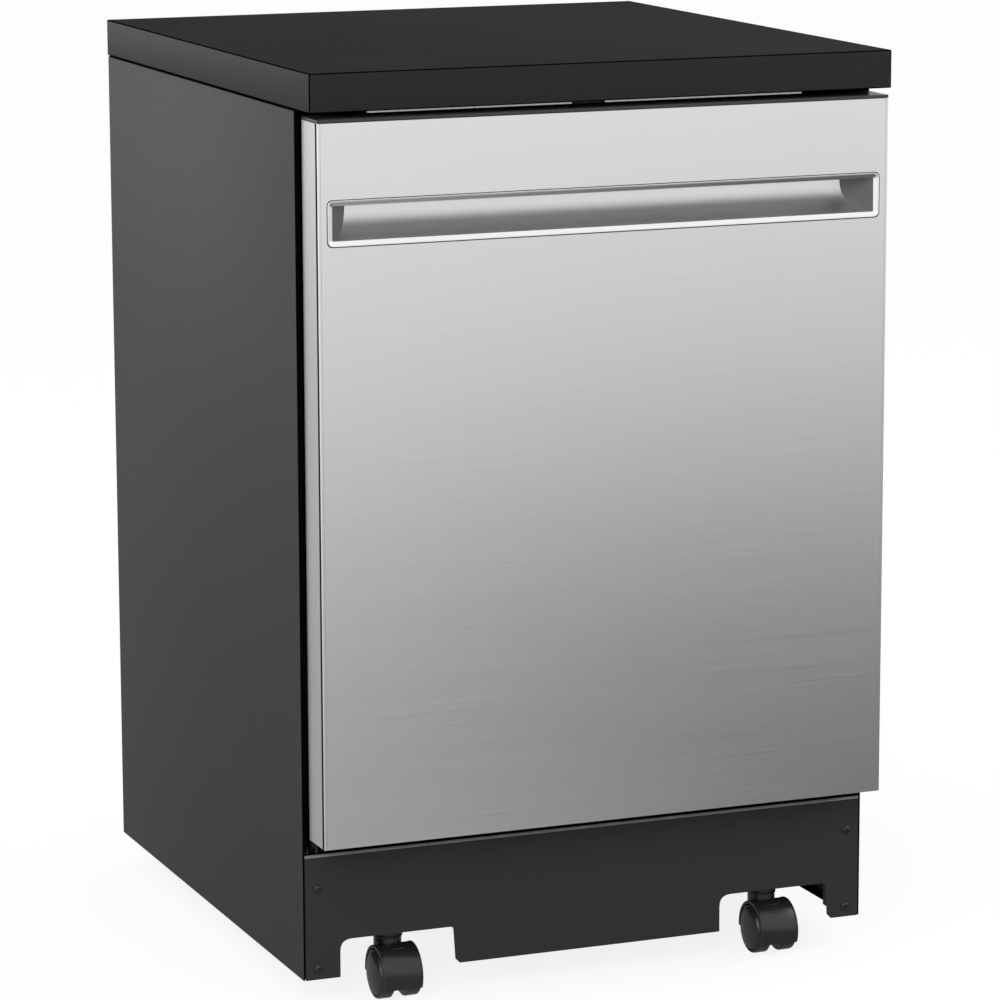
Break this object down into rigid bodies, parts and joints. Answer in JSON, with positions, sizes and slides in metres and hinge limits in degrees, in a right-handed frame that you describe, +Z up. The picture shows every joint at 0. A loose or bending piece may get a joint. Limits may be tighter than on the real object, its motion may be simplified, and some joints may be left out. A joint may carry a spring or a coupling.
{
  "type": "portable dishwasher on casters",
  "caption": "Portable front-opening dishwasher with a stainless door, pocket handle, laminate worktop and swivelling twin-wheel casters.",
  "frame": {"origin": "on the floor, under the middle of the machine's bounding box", "axes": "+Z up; -Y is the front, with the door; +X is the right-hand side seen from the front"},
  "size_m": [0.6096, 0.654, 0.9272],
  "materials": {
    "charcoal_paint": "satin",
    "worktop_laminate": "matte",
    "stainless_front": "brushed",
    "polished_trim": "polished",
    "black_plastic": "satin",
    "caster_tread": "satin",
    "grey_plastic": "satin",
    "coated_wire": "satin",
    "zinc_steel": "satin",
    "spring_steel": "satin",
    "fastener_black": "satin",
    "gasket_rubber": "matte",
    "circuit_board": "satin"
  },
  "bodies": {
    "cabinet": {"worktop": "worktop_laminate", "left_side_panel": "charcoal_paint", "right_side_panel": "charcoal_paint", "back_panel": "charcoal_paint", "service_outlet": "black_plastic", "base_frame": "charcoal_paint", "toe_panel": "charcoal_paint", "toe_screw_1": "fastener_black", "toe_screw_2": "fastener_black", "toe_screw_3": "fastener_black", "toe_screw_4": "fastener_black", "tub": "grey_plastic", "tub_seal": "gasket_rubber", "latch_strike": "black_plastic", "sump": "black_plastic", "filter": "grey_plastic", "heating_element": "zinc_steel", "wash_pump": "zinc_steel", "drain_pump": "black_plastic", "inlet_valve": "grey_plastic", "spray_feed_tube": "grey_plastic", "counter_spring_left": "spring_steel", "counter_spring_right": "spring_steel"},
    "door": {"door_panel": "stainless_front", "door_liner": "grey_plastic", "control_console": "black_plastic", "control_board": "circuit_board", "door_latch": "spring_steel", "handle_pocket": "polished_trim", "dispenser_body": "grey_plastic", "hinge_arm_left": "zinc_steel", "hinge_arm_right": "zinc_steel"},
    "dispenser_lid": {"dispenser_cover": "grey_plastic"},
    "rinse_cap": {"rinse_aid_cap": "black_plastic"},
    "power_key": {"power_button": "black_plastic"},
    "cycle_key": {"cycle_button": "black_plastic"},
    "options_key": {"options_button": "black_plastic"},
    "start_key": {"start_button": "black_plastic"},
    "float": {"overflow_float": "grey_plastic"},
    "top_basket": {"upper_rack": "coated_wire"},
    "upper_rails": {"upper_rail_left": "zinc_steel", "upper_rail_right": "zinc_steel"},
    "bottom_basket": {"lower_rack": "coated_wire", "silverware_basket": "grey_plastic"},
    "lower_arm": {"lower_spray_arm": "grey_plastic"},
    "upper_arm": {"upper_spray_arm": "grey_plastic"},
    "link_left": {"spring_link_left": "zinc_steel"},
    "roller_left_front": {"rack_wheel_left_front": "grey_plastic"},
    "caster_front_left_swivel": {"caster_front_left": "black_plastic"},
    "caster_front_left_wheels": {"caster_wheels_front_left": "caster_tread"},
    "roller_left_rear": {"rack_wheel_left_rear": "grey_plastic"},
    "caster_rear_left_swivel": {"caster_rear_left": "black_plastic"},
    "caster_rear_left_wheels": {"caster_wheels_rear_left": "caster_tread"},
    "link_right": {"spring_link_right": "zinc_steel"},
    "roller_right_front": {"rack_wheel_right_front": "grey_plastic"},
    "caster_front_right_swivel": {"caster_front_right": "black_plastic"},
    "caster_front_right_wheels": {"caster_wheels_front_right": "caster_tread"},
    "roller_right_rear": {"rack_wheel_right_rear": "grey_plastic"},
    "caster_rear_right_swivel": {"caster_rear_right": "black_plastic"},
    "caster_rear_right_wheels": {"caster_wheels_rear_right": "caster_tread"}
  },
  "joints": [
    {"name": "door_hinge", "type": "hinge", "parent": "cabinet", "child": "door", "pos_m": [0, -0.2884, 0.185], "axis": [1, 0, 0], "range_deg": [0, 90]},
    {"name": "upper_rack_slide", "type": "slide", "parent": "cabinet", "child": "top_basket", "axis": [0, -1, 0], "range_m": [0, 0.44]},
    {"name": "upper_rail_slide", "type": "slide", "parent": "cabinet", "child": "upper_rails", "axis": [0, -1, 0], "range_m": [0, 0.22]},
    {"name": "lower_rack_slide", "type": "slide", "parent": "cabinet", "child": "bottom_basket", "axis": [0, -1, 0], "range_m": [0, 0.1226]},
    {"name": "spring_link_left_slide", "type": "slide", "parent": "cabinet", "child": "link_left", "axis": [0, 0, 1], "range_m": [0, 0.0637]},
    {"name": "spring_link_right_slide", "type": "slide", "parent": "cabinet", "child": "link_right", "axis": [0, 0, 1], "range_m": [0, 0.0637]},
    {"name": "rack_wheel_left_front_roll", "type": "hinge", "parent": "bottom_basket", "child": "roller_left_front", "pos_m": [-0.2545, -0.1884, 0.2213], "axis": [1, 0, 0], "range_deg": [0, 470]},
    {"name": "rack_wheel_left_rear_roll", "type": "hinge", "parent": "bottom_basket", "child": "roller_left_rear", "pos_m": [-0.2545, 0.1736, 0.2213], "axis": [1, 0, 0], "range_deg": [0, 470]},
    {"name": "rack_wheel_right_front_roll", "type": "hinge", "parent": "bottom_basket", "child": "roller_right_front", "pos_m": [0.2545, -0.1884, 0.2213], "axis": [1, 0, 0], "range_deg": [0, 470]},
    {"name": "rack_wheel_right_rear_roll", "type": "hinge", "parent": "bottom_basket", "child": "roller_right_rear", "pos_m": [0.2545, 0.1736, 0.2213], "axis": [1, 0, 0], "range_deg": [0, 470]},
    {"name": "lower_arm_spin", "type": "hinge", "parent": "cabinet", "child": "lower_arm", "pos_m": [0, -0.0044, 0.193], "axis": [0, 0, 1], "continuous": true},
    {"name": "upper_arm_spin", "type": "hinge", "parent": "top_basket", "child": "upper_arm", "pos_m": [0, -0.0044, 0.5], "axis": [0, 0, 1], "continuous": true},
    {"name": "dispenser_cover_slide", "type": "slide", "parent": "door", "child": "dispenser_lid", "axis": [0, 0, 1], "range_m": [0, 0.06]},
    {"name": "rinse_cap_turn", "type": "hinge", "parent": "door", "child": "rinse_cap", "pos_m": [0.038, -0.2686, 0.517], "axis": [0, 1, 0], "range_deg": [0, 90]},
    {"name": "power_button_press", "type": "slide", "parent": "door", "child": "power_key", "axis": [0, 0, -1], "range_m": [0, 0.001], "stiffness_N_per_m": 800},
    {"name": "cycle_button_press", "type": "slide", "parent": "door", "child": "cycle_key", "axis": [0, 0, -1], "range_m": [0, 0.001], "stiffness_N_per_m": 800},
    {"name": "options_button_press", "type": "slide", "parent": "door", "child": "options_key", "axis": [0, 0, -1], "range_m": [0, 0.001], "stiffness_N_per_m": 800},
    {"name": "start_button_press", "type": "slide", "parent": "door", "child": "start_key", "axis": [0, 0, -1], "range_m": [0, 0.001], "stiffness_N_per_m": 800},
    {"name": "float_lift", "type": "slide", "parent": "cabinet", "child": "float", "axis": [0, 0, 1], "range_m": [0, 0.012]},
    {"name": "caster_front_left_turn", "type": "hinge", "parent": "cabinet", "child": "caster_front_left_swivel", "pos_m": [-0.2055, -0.246, 0.05], "axis": [0, 0, 1], "continuous": true},
    {"name": "caster_front_left_roll", "type": "hinge", "parent": "caster_front_left_swivel", "child": "caster_front_left_wheels", "pos_m": [-0.2055, -0.2644, 0.025], "axis": [1, 0, 0], "continuous": true},
    {"name": "caster_rear_left_turn", "type": "hinge", "parent": "cabinet", "child": "caster_rear_left_swivel", "pos_m": [-0.2055, 0.2466, 0.05], "axis": [0, 0, 1], "continuous": true},
    {"name": "caster_rear_left_roll", "type": "hinge", "parent": "caster_rear_left_swivel", "child": "caster_rear_left_wheels", "pos_m": [-0.2055, 0.2282, 0.025], "axis": [1, 0, 0], "continuous": true},
    {"name": "caster_front_right_turn", "type": "hinge", "parent": "cabinet", "child": "caster_front_right_swivel", "pos_m": [0.2055, -0.246, 0.05], "axis": [0, 0, 1], "continuous": true},
    {"name": "caster_front_right_roll", "type": "hinge", "parent": "caster_front_right_swivel", "child": "caster_front_right_wheels", "pos_m": [0.2055, -0.2644, 0.025], "axis": [1, 0, 0], "continuous": true},
    {"name": "caster_rear_right_turn", "type": "hinge", "parent": "cabinet", "child": "caster_rear_right_swivel", "pos_m": [0.2055, 0.2466, 0.05], "axis": [0, 0, 1], "continuous": true},
    {"name": "caster_rear_right_roll", "type": "hinge", "parent": "caster_rear_right_swivel", "child": "caster_rear_right_wheels", "pos_m": [0.2055, 0.2282, 0.025], "axis": [1, 0, 0], "continuous": true}
  ],
  "couplings": [
    {"joint": "upper_rack_slide", "follows": "door_hinge", "m_per_rad": 0.28},
    {"joint": "upper_rail_slide", "follows": "door_hinge", "m_per_rad": 0.14},
    {"joint": "lower_rack_slide", "follows": "door_hinge", "m_per_rad": 0.078},
    {"joint": "spring_link_left_slide", "follows": "door_hinge", "m_per_rad": 0.04051},
    {"joint": "spring_link_right_slide", "follows": "door_hinge", "m_per_rad": 0.04051},
    {"joint": "rack_wheel_left_front_roll", "follows": "door_hinge", "ratio": 5.2},
    {"joint": "rack_wheel_left_rear_roll", "follows": "door_hinge", "ratio": 5.2},
    {"joint": "rack_wheel_right_front_roll", "follows": "door_hinge", "ratio": 5.2},
    {"joint": "rack_wheel_right_rear_roll", "follows": "door_hinge", "ratio": 5.2}
  ]
}
